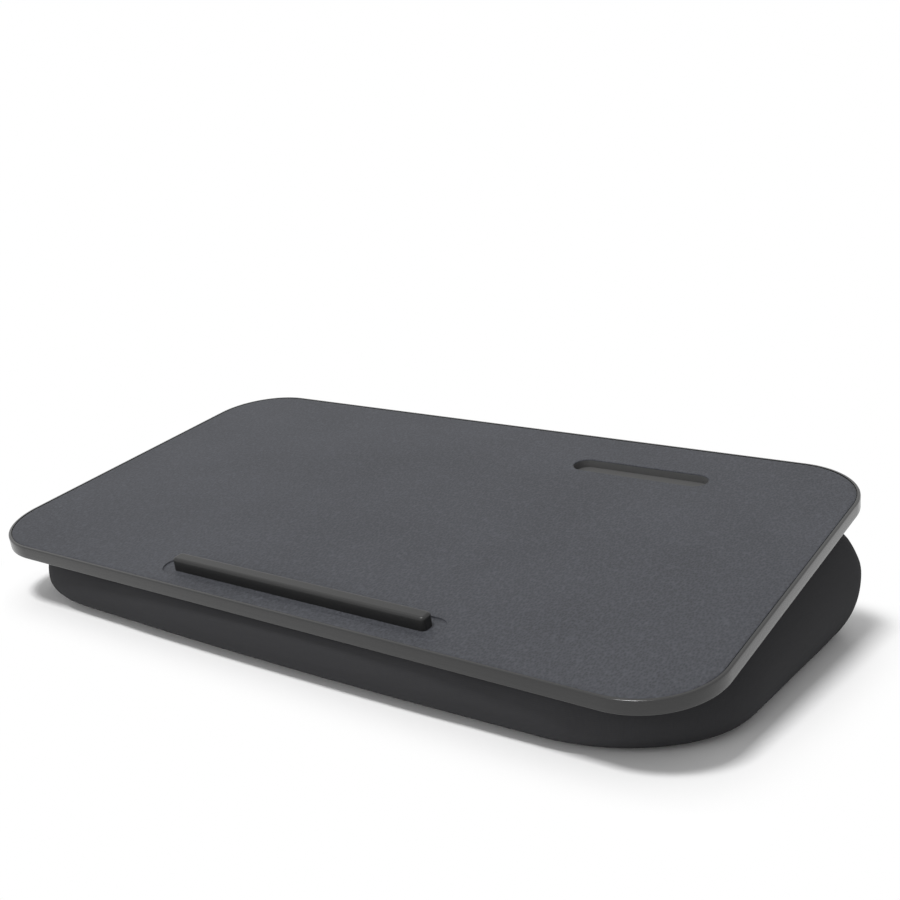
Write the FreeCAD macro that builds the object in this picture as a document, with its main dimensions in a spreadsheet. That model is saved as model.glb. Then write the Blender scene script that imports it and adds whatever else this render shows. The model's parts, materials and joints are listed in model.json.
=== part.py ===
"""Lap tray: a tilted board with a stop bar and a stand groove, on a zipped wedge cushion.

Millimetres. X runs to the user's right, Y away from the user, Z up. The origin is on the floor, under the
middle of the whole tray. The board's own pieces are drawn flat, with their zero at the middle of the work
surface, and then tilted into place. The zip's pieces are drawn flat on the tape plane.
"""
import FreeCAD
import Part

import math
import os

import Sketcher

SIZES = (
    # Board
    ("board_width", 545),
    ("board_depth", 300),
    ("board_thick", 9),
    ("board_corner", 50),
    ("board_tilt", 12),
    ("board_height", 75),
    ("sheet_thick", 0.8),
    ("sheet_reveal", 0.3),
    ("backing_thick", 0.5),
    ("band_thick", 2),
    ("band_arris", 0.8),
    ("barb_length", 6.5),
    ("barb_thick", 2.2),
    ("fit_clearance", 0.1),
    # Stop bar and its recess
    ("bar_length", 199),
    ("bar_width", 9.5),
    ("bar_rise", 7.7),
    ("bar_edge_round", 2),
    ("bar_end_round", 3),
    ("bar_shift", 6),
    ("bar_setback", 22.5),
    ("recess_length", 219),
    ("recess_width", 21),
    ("recess_depth", 1),
    ("recess_rim", 0.4),
    ("peg_diameter", 6),
    ("peg_length", 5.5),
    ("peg_spacing", 140),
    ("peg_clearance", 0.1),
    ("peg_end_clearance", 0.5),
    # Stand groove
    ("groove_length", 100),
    ("groove_width", 18.5),
    ("groove_depth", 6),
    ("groove_rim", 0.6),
    ("groove_side_margin", 99),
    ("groove_back_margin", 49.5),
    # Cushion
    ("cushion_side_inset", 2.5),
    ("cushion_front_inset", 12.5),
    ("cushion_rear_overhang", 4),
    ("front_corner", 91),
    ("rear_corner", 30),
    ("front_bow", 4),
    ("front_roll", 25),
    ("side_roll", 13),
    ("rear_roll", 23),
    ("rear_tuck", 44),
    ("side_tuck", 11),
    ("cover_gap", 0.4),
    ("cover_thick", 2.4),
    ("layer_clearance", 0.3),
    ("base_seam", 14),
    ("top_panel_thick", 1),
    # Hook and loop pads
    ("pad_length", 70),
    ("pad_width", 25),
    ("pad_side_inset", 92.5),
    ("pad_front_inset", 55),
    ("pad_rear_inset", 80),
    ("hook_thick", 1.2),
    ("loop_thick", 1.2),
    # Zip
    ("zip_length", 300),
    ("zip_height", 36),
    ("tape_width", 8.3),
    ("tape_thick", 0.6),
    ("tape_tail", 12),
    ("tape_sink", 1.4),
    ("row_width", 2.2),
    ("row_thick", 2.2),
    ("row_gap", 1),
    ("tooth_pitch", 4),
    ("stop_length", 3),
    ("slider_length", 11),
    ("slider_corner", 2),
    ("slider_plate", 1.2),
    ("slider_lip", 1.2),
    ("slider_blade", 0.6),
    ("slider_blade_length", 3),
    ("slider_clearance", 0.3),
    ("crown_length", 6.8),
    ("crown_width", 1.6),
    ("crown_thick", 1.2),
    ("pull_length", 28),
    ("pull_width", 7),
    ("pull_thick", 1.2),
    ("pull_corner", 2),
    ("pull_window_length", 5),
    ("pull_window_width", 3),
    ("pull_clearance", 0.3),
    # Length by which every cutting tool runs past what it cuts
    ("overrun", 5),
)

# Levels of the cushion's sections, as shares of the way up from the floor to the board
LEVEL_SHARES = (0, 0.07, 0.18, 0.27, 0.48, 0.70, 0.88, 1.06)
# How much of the lower roll is taken in at each level, and how much of the upper tuck
ROLL_SHARES = (1, 0.52, 0.20, 0.04, 0, 0, 0, 0)
TUCK_SHARES = (0, 0, 0, 0, 0, 0.27, 0.62, 1.25)
# Levels that the foam is cut through. The cover goes through all of them.
FOAM_LEVELS = (0, 2, 4, 6, 7)
# A corner's radius follows the roll and the tuck by this share of them
CORNER_FOLLOW_SHARE = 0.5
# Share of the tooth pitch that is tooth, and share of the row's width that is its spine
TOOTH_SHARE = 0.55
SPINE_SHARE = 0.4

PAD_COLUMNS = (-1, 0, 1)
SIDES = (-1, 1)

doc = FreeCAD.newDocument("lap_tray")
sheet = doc.addObject("Spreadsheet::Sheet", "sizes")
for row, (alias, number) in enumerate(SIZES, start=1):
    cell = "A%d" % row
    sheet.set(cell, str(number))
    sheet.setAlias(cell, alias)
doc.recompute()


def size(text):
    """The value of an expression in the sheet's aliases, each written as sizes.alias."""
    return float(sheet.evalExpression(text))


def vector(x, y, z):
    return FreeCAD.Vector(x, y, z)


# Places that several pieces share, as expressions
PANEL_TOP = "-sizes.sheet_thick"
PANEL_BOTTOM = "-(sizes.board_thick - sizes.backing_thick)"
PANEL_INSET = "(sizes.band_thick + sizes.fit_clearance)"
SHEET_INSET = "(sizes.band_thick + sizes.sheet_reveal)"
BAR_X = "sizes.bar_shift"
BAR_Y = "-(sizes.board_depth / 2 - sizes.bar_setback)"
GROOVE_X = "sizes.board_width / 2 - sizes.groove_side_margin - sizes.groove_length / 2"
GROOVE_Y = "sizes.board_depth / 2 - sizes.groove_back_margin"
HOLE_DIAMETER = "(sizes.peg_diameter + 2 * sizes.peg_clearance)"
CUSHION_HALF = "(sizes.board_width / 2 - sizes.cushion_side_inset)"
CUSHION_FRONT = "(sizes.board_depth / 2 - sizes.cushion_front_inset)"
CUSHION_REAR = "(sizes.board_depth / 2 + sizes.cushion_rear_overhang)"
CHAIN_HALF = "(sizes.row_gap / 2 + sizes.row_width)"
PLATE_LEVEL = "(sizes.row_thick / 2 + sizes.slider_clearance)"
SLIDER_HALF = "(%s + sizes.slider_clearance + sizes.slider_lip)" % CHAIN_HALF
PULL_AXIS = "(%s + sizes.slider_plate + sizes.pull_clearance + sizes.pull_thick / 2)" % PLATE_LEVEL
CROWN_RISE = "(2 * sizes.pull_clearance + sizes.pull_thick + sizes.crown_thick)"

# Where the board and the zip stand. The tray's front and rear ends are equally far from the origin.
tilt = math.radians(size("sizes.board_tilt"))
tape_reach = size("%s - sizes.tape_sink + sizes.tape_thick / 2" % CUSHION_REAR)
rear_extent = tape_reach + size("%s + sizes.slider_plate + %s" % (PLATE_LEVEL, CROWN_RISE))
front_extent = size("sizes.board_depth / 2") * math.cos(tilt)
middle_y = (front_extent - rear_extent) / 2

BOARD_PLACE = FreeCAD.Placement(
    vector(0, middle_y, size("sizes.board_height")),
    FreeCAD.Rotation(vector(1, 0, 0), size("sizes.board_tilt")),
)
# On the tape plane x runs to the user's left, y up and z out of the cushion's back
TAPE_TURN = FreeCAD.Rotation(vector(-1, 0, 0), vector(0, 0, 1), vector(0, 1, 0), "XYZ")
TAPE_PLACE = FreeCAD.Placement(vector(0, middle_y + tape_reach, size("sizes.zip_height")), TAPE_TURN)
slider_rest = size("-(sizes.zip_length / 2 - sizes.slider_length / 2 - sizes.slider_clearance)")
SLIDER_PLACE = TAPE_PLACE.multiply(FreeCAD.Placement(vector(slider_rest, 0, 0), FreeCAD.Rotation()))
PULL_PLACE = SLIDER_PLACE.multiply(FreeCAD.Placement(vector(0, 0, size(PULL_AXIS)), FreeCAD.Rotation()))

pieces = []


def new_body(label, place):
    """A body for one piece, kept for the checks and the export."""
    body = doc.addObject("PartDesign::Body", label)
    body.Label = label
    body.Placement = place
    pieces.append(body)
    return body


def new_sketch(body, name, role="XY_Plane", x="0", y="0", level="0"):
    """A sketch on one of the body's own planes, shifted along the plane and lifted off it."""
    sketch = body.newObject("Sketcher::SketchObject", name)
    plane = [feature for feature in body.Origin.OriginFeatures if feature.Role == role][0]
    sketch.AttachmentSupport = (plane, [""])
    sketch.MapMode = "FlatFace"
    sketch.setExpression("AttachmentOffset.Base.x", x)
    sketch.setExpression("AttachmentOffset.Base.y", y)
    sketch.setExpression("AttachmentOffset.Base.z", level)
    return sketch


def drive(sketch, constraint, expression):
    """Adds a dimension to the sketch and ties it to the sheet."""
    index = sketch.addConstraint(constraint)
    sketch.setExpression("Constraints[%d]" % index, expression)


def arc(x, y, radius, start, end):
    circle = Part.Circle(vector(x, y, 0), vector(0, 0, 1), radius)
    return Part.ArcOfCircle(circle, math.radians(start), math.radians(end))


def line(x0, y0, x1, y1):
    return Part.LineSegment(vector(x0, y0, 0), vector(x1, y1, 0))


def add_rectangle(sketch, width, depth, corner):
    """A rounded rectangle about the sketch's zero."""
    half_w = size(width) / 2
    half_d = size(depth) / 2
    r = size(corner)
    in_w = half_w - r
    in_d = half_d - r
    first = sketch.GeometryCount
    sketch.addGeometry(line(-in_w, -half_d, in_w, -half_d))
    sketch.addGeometry(arc(in_w, -in_d, r, -90, 0))
    sketch.addGeometry(line(half_w, -in_d, half_w, in_d))
    sketch.addGeometry(arc(in_w, in_d, r, 0, 90))
    sketch.addGeometry(line(in_w, half_d, -in_w, half_d))
    sketch.addGeometry(arc(-in_w, in_d, r, 90, 180))
    sketch.addGeometry(line(-half_w, in_d, -half_w, -in_d))
    sketch.addGeometry(arc(-in_w, -in_d, r, 180, 270))
    count = sketch.GeometryCount - first
    for step in range(count):
        after = first + (step + 1) % count
        sketch.addConstraint(Sketcher.Constraint("Tangent", first + step, 2, after, 1))
    sketch.addConstraint(Sketcher.Constraint("Horizontal", first))
    sketch.addConstraint(Sketcher.Constraint("Vertical", first + 2))
    sketch.addConstraint(Sketcher.Constraint("Horizontal", first + 4))
    sketch.addConstraint(Sketcher.Constraint("Equal", first + 1, first + 5))
    sketch.addConstraint(Sketcher.Constraint("Symmetric", first + 1, 3, first + 5, 3, -1, 1))
    drive(sketch, Sketcher.Constraint("Radius", first + 1, r), corner)
    drive(sketch, Sketcher.Constraint("DistanceX", first + 6, 1, first + 2, 2, 2 * half_w), width)
    drive(sketch, Sketcher.Constraint("DistanceY", first, 1, first + 4, 2, 2 * half_d), depth)


def add_block(sketch, width, depth):
    """A square-cornered rectangle about the sketch's zero."""
    half_w = size(width) / 2
    half_d = size(depth) / 2
    corners = ((-half_w, -half_d), (half_w, -half_d), (half_w, half_d), (-half_w, half_d))
    first = sketch.GeometryCount
    count = len(corners)
    for step in range(count):
        sketch.addGeometry(line(*corners[step], *corners[(step + 1) % count]))
    for step in range(count):
        after = first + (step + 1) % count
        sketch.addConstraint(Sketcher.Constraint("Coincident", first + step, 2, after, 1))
    for step, way in enumerate(("Horizontal", "Vertical", "Horizontal", "Vertical")):
        sketch.addConstraint(Sketcher.Constraint(way, first + step))
    sketch.addConstraint(Sketcher.Constraint("Symmetric", first, 1, first + 2, 1, -1, 1))
    drive(sketch, Sketcher.Constraint("DistanceX", first, 1, first, 2, 2 * half_w), width)
    drive(sketch, Sketcher.Constraint("DistanceY", first + 1, 1, first + 1, 2, 2 * half_d), depth)


def add_stadium(sketch, length, width):
    """A straight-sided outline with round ends about the sketch's zero."""
    r = size(width) / 2
    half = size(length) / 2 - r
    first = sketch.GeometryCount
    sketch.addGeometry(line(-half, -r, half, -r))
    sketch.addGeometry(arc(half, 0, r, -90, 90))
    sketch.addGeometry(line(half, r, -half, r))
    sketch.addGeometry(arc(-half, 0, r, 90, 270))
    for step in range(4):
        after = first + (step + 1) % 4
        sketch.addConstraint(Sketcher.Constraint("Tangent", first + step, 2, after, 1))
    sketch.addConstraint(Sketcher.Constraint("Horizontal", first))
    sketch.addConstraint(Sketcher.Constraint("Symmetric", first + 1, 3, first + 3, 3, -1, 1))
    drive(sketch, Sketcher.Constraint("Radius", first + 1, r), "(%s) / 2" % width)
    drive(sketch, Sketcher.Constraint("DistanceX", first + 3, 3, first + 1, 3, 2 * half),
          "(%s) - (%s)" % (length, width))


def add_circles(sketch, diameter, spacing):
    """A pair of circles, left and right of the sketch's zero."""
    half = size(spacing) / 2
    first = sketch.GeometryCount
    for side in SIDES:
        sketch.addGeometry(Part.Circle(vector(side * half, 0, 0), vector(0, 0, 1), size(diameter) / 2))
    sketch.addConstraint(Sketcher.Constraint("Equal", first, first + 1))
    sketch.addConstraint(Sketcher.Constraint("Symmetric", first, 3, first + 1, 3, -1, 1))
    sketch.addConstraint(Sketcher.Constraint("PointOnObject", first, 3, -1))
    drive(sketch, Sketcher.Constraint("Diameter", first, size(diameter)), diameter)
    drive(sketch, Sketcher.Constraint("DistanceX", first, 3, first + 1, 3, 2 * half), spacing)


def pad(body, name, sketch, length, down=False, both_ways=False):
    feature = body.newObject("PartDesign::Pad", name)
    feature.Profile = sketch
    feature.setExpression("Length", length)
    feature.Reversed = down
    feature.Midplane = both_ways
    sketch.Visibility = False
    doc.recompute()
    return feature


def pocket(body, name, sketch, depth, both_ways=False):
    """A cut that goes down from its sketch, or both ways. It has to take something away."""
    before = body.Shape.Volume
    feature = body.newObject("PartDesign::Pocket", name)
    feature.Profile = sketch
    feature.setExpression("Length", depth)
    feature.Midplane = both_ways
    sketch.Visibility = False
    doc.recompute()
    if body.Shape.Volume >= before:
        raise RuntimeError("%s cuts nothing" % name)
    return feature


def edges_where(feature, chosen):
    """Names of the feature's edges whose middle point the given test accepts."""
    names = []
    for index, edge in enumerate(feature.Shape.Edges, start=1):
        middle = edge.valueAt((edge.FirstParameter + edge.LastParameter) / 2)
        if chosen(middle):
            names.append("Edge%d" % index)
    return names


def soften(body, kind, name, base, edges, amount):
    """Rounds the edges with a Fillet, or bevels them with a Chamfer."""
    feature = body.newObject("PartDesign::" + kind, name)
    feature.Base = (base, edges)
    feature.setExpression("Radius" if kind == "Fillet" else "Size", amount)
    doc.recompute()
    return feature


def same(a, b):
    return math.isclose(a, b, abs_tol=size("sizes.fit_clearance") / 2)


def inset_rectangle(sketch, inset):
    """The board's outline, drawn in by the given amount."""
    add_rectangle(sketch, "sizes.board_width - 2 * %s" % inset, "sizes.board_depth - 2 * %s" % inset,
                  "sizes.board_corner - %s" % inset)


# Board


def make_core_panel():
    body = new_body("core_panel", BOARD_PLACE)
    outline = new_sketch(body, "panel_outline", level=PANEL_TOP)
    inset_rectangle(outline, PANEL_INSET)
    pad(body, "panel_pad", outline, "sizes.board_thick - sizes.sheet_thick - sizes.backing_thick", down=True)

    slit = "(sizes.barb_thick + 2 * sizes.fit_clearance)"
    ring = new_sketch(body, "edging_groove", level="-(sizes.board_thick - %s) / 2" % slit)
    inset_rectangle(ring, "0")
    inset_rectangle(ring, "(sizes.band_thick + sizes.barb_length + sizes.fit_clearance)")
    pocket(body, "edging_groove_cut", ring, slit)

    pan = new_sketch(body, "recess_outline", x=BAR_X, y=BAR_Y, level=PANEL_TOP)
    wall = "2 * (sizes.sheet_thick + sizes.fit_clearance)"
    add_stadium(pan, "sizes.recess_length + " + wall, "sizes.recess_width + " + wall)
    pocket(body, "recess_cut", pan, "sizes.recess_depth")

    holes = new_sketch(body, "peg_holes", x=BAR_X, y=BAR_Y, level=PANEL_TOP)
    add_circles(holes, HOLE_DIAMETER, "sizes.peg_spacing")
    depth = "sizes.recess_depth + sizes.peg_length + sizes.peg_end_clearance - sizes.sheet_thick"
    pocket(body, "peg_hole_cut", holes, depth)

    groove = new_sketch(body, "groove_outline", x=GROOVE_X, y=GROOVE_Y, level=PANEL_TOP)
    add_stadium(groove, "sizes.groove_length", "sizes.groove_width")
    pocket(body, "groove_cut", groove, "sizes.groove_depth - sizes.sheet_thick")


def make_top_sheet():
    body = new_body("top_sheet", BOARD_PLACE)
    outline = new_sketch(body, "sheet_outline")
    inset_rectangle(outline, SHEET_INSET)
    pad(body, "sheet_pad", outline, "sizes.sheet_thick", down=True)

    under = new_sketch(body, "pan_under", x=BAR_X, y=BAR_Y)
    wall = "2 * sizes.sheet_thick"
    add_stadium(under, "sizes.recess_length + " + wall, "sizes.recess_width + " + wall)
    pad(body, "pan_pad", under, "sizes.recess_depth + sizes.sheet_thick", down=True)
    inside = new_sketch(body, "pan_inside", x=BAR_X, y=BAR_Y)
    add_stadium(inside, "sizes.recess_length", "sizes.recess_width")
    pocket(body, "pan_cut", inside, "sizes.recess_depth")

    holes = new_sketch(body, "pan_holes", x=BAR_X, y=BAR_Y, level="-sizes.recess_depth")
    add_circles(holes, HOLE_DIAMETER, "sizes.peg_spacing")
    pocket(body, "pan_hole_cut", holes, "sizes.sheet_thick + sizes.overrun")

    mouth = new_sketch(body, "groove_mouth", x=GROOVE_X, y=GROOVE_Y)
    add_stadium(mouth, "sizes.groove_length", "sizes.groove_width")
    cut = pocket(body, "groove_mouth_cut", mouth, "sizes.sheet_thick + sizes.overrun")

    groove_x = size(GROOVE_X)
    groove_y = size(GROOVE_Y)
    groove_reach = size("sizes.groove_length / 2 + sizes.fit_clearance")
    groove_half = size("sizes.groove_width / 2 + sizes.fit_clearance")

    def on_mouth(point):
        near = abs(point.x - groove_x) < groove_reach and abs(point.y - groove_y) < groove_half
        return near and same(point.z, 0)

    mouth_edges = edges_where(cut, on_mouth)
    soft_mouth = soften(body, "Fillet", "groove_rim_round", cut, mouth_edges, "sizes.groove_rim")

    bar_x = size(BAR_X)
    bar_y = size(BAR_Y)
    pan_reach = size("sizes.recess_length / 2 + sizes.fit_clearance")
    pan_half = size("sizes.recess_width / 2 + sizes.fit_clearance")

    def on_pan(point):
        near = abs(point.x - bar_x) < pan_reach and abs(point.y - bar_y) < pan_half
        return near and same(point.z, 0)

    pan_edges = edges_where(soft_mouth, on_pan)
    soften(body, "Chamfer", "recess_rim_bevel", soft_mouth, pan_edges, "sizes.recess_rim")


def make_backing_sheet():
    body = new_body("backing_sheet", BOARD_PLACE)
    outline = new_sketch(body, "backing_outline", level=PANEL_BOTTOM)
    inset_rectangle(outline, PANEL_INSET)
    pad(body, "backing_pad", outline, "sizes.backing_thick", down=True)


def make_edge_band():
    body = new_body("edge_band", BOARD_PLACE)
    wall = new_sketch(body, "band_ring")
    inset_rectangle(wall, "0")
    inset_rectangle(wall, "sizes.band_thick")
    pad(body, "band_pad", wall, "sizes.board_thick", down=True)
    barb = new_sketch(body, "barb_ring", level="-(sizes.board_thick - sizes.barb_thick) / 2")
    inset_rectangle(barb, "sizes.band_thick / 2")
    inset_rectangle(barb, "(sizes.band_thick + sizes.barb_length)")
    tee = pad(body, "barb_pad", barb, "sizes.barb_thick", down=True)

    inner_w = size("sizes.board_width / 2 - sizes.band_thick / 2")
    inner_d = size("sizes.board_depth / 2 - sizes.band_thick / 2")
    bottom = size("-sizes.board_thick")
    corner = size("sizes.board_corner")
    straight_w = size("sizes.board_width / 2") - corner
    straight_d = size("sizes.board_depth / 2") - corner

    def on_outside(point):
        round_reach = math.hypot(max(abs(point.x) - straight_w, 0), max(abs(point.y) - straight_d, 0))
        on_corner = round_reach > corner - size("sizes.band_thick / 2")
        return abs(point.x) > inner_w or abs(point.y) > inner_d or on_corner

    upper = edges_where(tee, lambda point: on_outside(point) and same(point.z, 0))
    rounded = soften(body, "Fillet", "upper_arris", tee, upper, "sizes.band_arris")
    lower = edges_where(rounded, lambda point: on_outside(point) and same(point.z, bottom))
    soften(body, "Chamfer", "lower_arris", rounded, lower, "sizes.band_arris")


def make_stop_bar():
    body = new_body("stop_bar", BOARD_PLACE)
    outline = new_sketch(body, "bar_outline", x=BAR_X, y=BAR_Y, level="-sizes.recess_depth")
    add_rectangle(outline, "sizes.bar_length", "sizes.bar_width", "sizes.bar_end_round")
    pad(body, "bar_pad", outline, "sizes.recess_depth + sizes.bar_rise")
    pegs = new_sketch(body, "peg_circles", x=BAR_X, y=BAR_Y, level="-sizes.recess_depth")
    add_circles(pegs, "sizes.peg_diameter", "sizes.peg_spacing")
    pegged = pad(body, "peg_pad", pegs, "sizes.peg_length", down=True)
    top = size("sizes.bar_rise")
    upper = edges_where(pegged, lambda point: same(point.z, top))
    soften(body, "Fillet", "bar_top_round", pegged, upper, "sizes.bar_edge_round")


# Cushion


def keep(label, shape, place=None):
    """A piece whose shape is worked out from the sheet's values."""
    piece = doc.addObject("Part::Feature", label)
    piece.Label = label
    piece.Shape = shape
    if place is not None:
        piece.Placement = place
    pieces.append(piece)


def three_point(a, b, c):
    return Part.Arc(a, b, c).toShape()


def cushion_section(step, inset):
    """Outline of the cushion at one level, drawn in by inset, on a plane that turns about the line where
    the floor meets the plane of the board's underside."""
    roll = ROLL_SHARES[step]
    tuck = TUCK_SHARES[step]
    half = size(CUSHION_HALF) - inset
    half -= roll * size("sizes.side_roll") + tuck * size("sizes.side_tuck")
    front = inset - size(CUSHION_FRONT) + roll * size("sizes.front_roll")
    rear = size(CUSHION_REAR) - inset
    rear -= roll * size("sizes.rear_roll") + tuck * size("sizes.rear_tuck")
    front_r = size("sizes.front_corner") - inset - CORNER_FOLLOW_SHARE * roll * size("sizes.front_roll")
    rear_r = size("sizes.rear_corner") - inset + CORNER_FOLLOW_SHARE * tuck * size("sizes.rear_tuck")
    bow = size("sizes.front_bow")

    under = size("sizes.board_height") - size("sizes.board_thick + sizes.cover_gap") / math.cos(tilt)
    hinge = -under / math.tan(tilt)
    slope = math.tan(LEVEL_SHARES[step] * tilt)

    def lift(x, y):
        return vector(x, middle_y + y, (y - hinge) * slope)

    def corner(x, y, r, start, end):
        turn = [math.radians(angle) for angle in (start, (start + end) / 2, end)]
        return [(x + r * math.cos(angle), y + r * math.sin(angle)) for angle in turn]

    lean = math.degrees(2 * math.atan(bow / (half - front_r)))
    right_front = corner(half - front_r, front + front_r, front_r, lean - 90, 0)
    right_rear = corner(half - rear_r, rear - rear_r, rear_r, 0, 90)
    left_rear = [(-x, y) for x, y in reversed(right_rear)]
    left_front = [(-x, y) for x, y in reversed(right_front)]
    start_x, start_y = right_front[0]
    belly = (0, start_y - start_x * math.tan(math.radians(lean) / 2))
    edges = [three_point(lift(*left_front[2]), lift(*belly), lift(*right_front[0]))]
    bends = (right_front, right_rear, left_rear, left_front)
    for index, bend in enumerate(bends):
        edges.append(three_point(*[lift(*point) for point in bend]))
        if index + 1 < len(bends):
            edges.append(Part.LineSegment(lift(*bend[2]), lift(*bends[index + 1][0])).toShape())
    return Part.Wire(edges)


def cushion_form(inset, levels):
    """The cushion's whole form, drawn in by inset and running a little way up past the board's underside."""
    sections = [cushion_section(step, inset) for step in levels]
    return Part.makeLoft(sections, True, True)


def slab(top, bottom, place):
    """A block between two levels of the board's own frame or of the floor, wider than the whole tray."""
    width = size("sizes.board_width + 2 * sizes.overrun")
    depth = 2 * width
    block = Part.makeBox(width, depth, top - bottom, vector(-width / 2, -depth / 2, bottom))
    block.Placement = place
    return block


def zip_block(half_length, half_height, back, front):
    """A block on the tape plane, between two levels off it."""
    corner = vector(-half_length, -half_height, back)
    block = Part.makeBox(2 * half_length, 2 * half_height, front - back, corner)
    block.Placement = TAPE_PLACE
    return block


UNDERSIDE = size("-sizes.board_thick")
COVER_TOP = size("-(sizes.board_thick + sizes.cover_gap)")
PANEL_LEVEL = size("-(sizes.board_thick + sizes.hook_thick + sizes.loop_thick)")
PANEL_UNDER = PANEL_LEVEL - size("sizes.top_panel_thick")
CORE_TOP = PANEL_UNDER - size("sizes.layer_clearance")
FAR_ABOVE = size("sizes.board_height + sizes.board_depth")
FAR_BELOW = -FAR_ABOVE
FLOOR = FreeCAD.Placement()
chain_reach = size("sizes.zip_length / 2")
tape_end = size("sizes.zip_length / 2 + sizes.tape_tail")
tape_half = size("%s + sizes.tape_width" % CHAIN_HALF)
slot_end = size("sizes.zip_length / 2 + sizes.stop_length + sizes.slider_clearance")
slot_half = size("%s + sizes.slider_clearance" % SLIDER_HALF)
tape_back = size("-sizes.tape_thick / 2")
plate_back = size("-(%s + sizes.slider_plate + sizes.slider_clearance)" % PLATE_LEVEL)
outward = size("sizes.tape_sink + sizes.overrun")


def base_wire(inset):
    """The edge of the cushion's flat base, drawn in by inset."""
    return cushion_section(0, inset)


def make_cushion_cover():
    thick = size("sizes.cover_thick")
    levels = range(len(LEVEL_SHARES))
    form = cushion_form(0, levels).common(slab(COVER_TOP, FAR_BELOW, BOARD_PLACE))
    room = cushion_form(thick, levels).common(slab(FAR_ABOVE, thick, FLOOR))
    base = Part.Face(base_wire(size("sizes.base_seam"))).extrude(vector(0, 0, thick + size("sizes.overrun")))
    seat_end = tape_end + size("sizes.layer_clearance")
    seat_half = tape_half + size("sizes.layer_clearance")
    seat = zip_block(seat_end, seat_half, tape_back, outward)
    slot = zip_block(slot_end, slot_half, plate_back - thick, outward)
    keep("cushion_cover", form.cut(room).cut(base).cut(seat).cut(slot))


def make_base_panel():
    edge = base_wire(size("sizes.base_seam + sizes.layer_clearance"))
    keep("base_panel", Part.Face(edge).extrude(vector(0, 0, size("sizes.cover_thick"))))


def filling():
    """What fits inside the cover."""
    return cushion_form(size("sizes.cover_thick + sizes.layer_clearance"), FOAM_LEVELS)


def make_cover_top_panel():
    keep("cover_top_panel", filling().common(slab(PANEL_LEVEL, PANEL_UNDER, BOARD_PLACE)))


def make_foam_core():
    bottom = size("sizes.cover_thick + sizes.layer_clearance")
    core = filling().common(slab(CORE_TOP, FAR_BELOW, BOARD_PLACE))
    core = core.common(slab(FAR_ABOVE, bottom, FLOOR))
    channel = zip_block(slot_end, slot_half, plate_back, outward)
    keep("foam_core", core.cut(channel))


def pad_plate(x, y, top, thick):
    """One pad, cut square from a strip, from its top level down."""
    length = size("sizes.pad_length")
    width = size("sizes.pad_width")
    return Part.makeBox(length, width, thick, vector(x - length / 2, y - width / 2, top - thick))


def make_pads(label, top, thick):
    """Pads in two rows. Their insets are from the board's edges to the pads' middles."""
    reach = size("sizes.board_width / 2 - sizes.pad_side_inset")
    front = -size("sizes.board_depth / 2 - sizes.pad_front_inset")
    rear = size("sizes.board_depth / 2 - sizes.pad_rear_inset")
    plates = []
    for column in PAD_COLUMNS:
        plates.append(pad_plate(column * reach, front, top, thick))
        plates.append(pad_plate(column * reach, rear, top, thick))
    keep(label, Part.makeCompound(plates), BOARD_PLACE)


# Zip


def make_zip_tapes():
    inner = size(CHAIN_HALF)
    strips = []
    for side in SIDES:
        low = inner if side > 0 else -tape_half
        corner = vector(-tape_end, low, tape_back)
        strips.append(Part.makeBox(2 * tape_end, tape_half - inner, size("sizes.tape_thick"), corner))
    keep("zip_tapes", Part.makeCompound(strips), TAPE_PLACE)


def tooth_row(side):
    """One row of teeth: a comb, with its spine along the tape's edge and its teeth towards the other row."""
    pitch = size("sizes.tooth_pitch")
    count = int(2 * chain_reach // pitch)
    edge = side * size(CHAIN_HALF)
    root = side * (size(CHAIN_HALF) - SPINE_SHARE * size("sizes.row_width"))
    tip = side * size("sizes.row_gap / 2")
    start = -count * pitch / 2
    points = [(start, edge), (start, root)]
    for index in range(count):
        left = start + pitch * (index + (1 - TOOTH_SHARE) / 2)
        right = left + TOOTH_SHARE * pitch
        points += [(left, root), (left, tip), (right, tip), (right, root)]
    points += [(-start, root), (-start, edge), (start, edge)]
    level = -size("sizes.row_thick") / 2
    outline = Part.makePolygon([vector(x, y, level) for x, y in points])
    return Part.Face(outline).extrude(vector(0, 0, size("sizes.row_thick")))


def make_zip_rows():
    keep("zip_rows", Part.makeCompound([tooth_row(side) for side in SIDES]), TAPE_PLACE)


def make_zip_stops():
    """One stop on each row where the zip closes, and one across both rows where it ends open."""
    length = size("sizes.stop_length")
    thick = size("sizes.row_thick")
    width = size("sizes.row_width")
    gap = size("sizes.row_gap")
    blocks = []
    for side in SIDES:
        low = gap / 2 if side > 0 else -gap / 2 - width
        blocks.append(Part.makeBox(length, width, thick, vector(-chain_reach - length, low, -thick / 2)))
    across = 2 * width + gap
    blocks.append(Part.makeBox(length, across, thick, vector(chain_reach, -across / 2, -thick / 2)))
    keep("zip_stops", Part.makeCompound(blocks), TAPE_PLACE)


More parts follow.
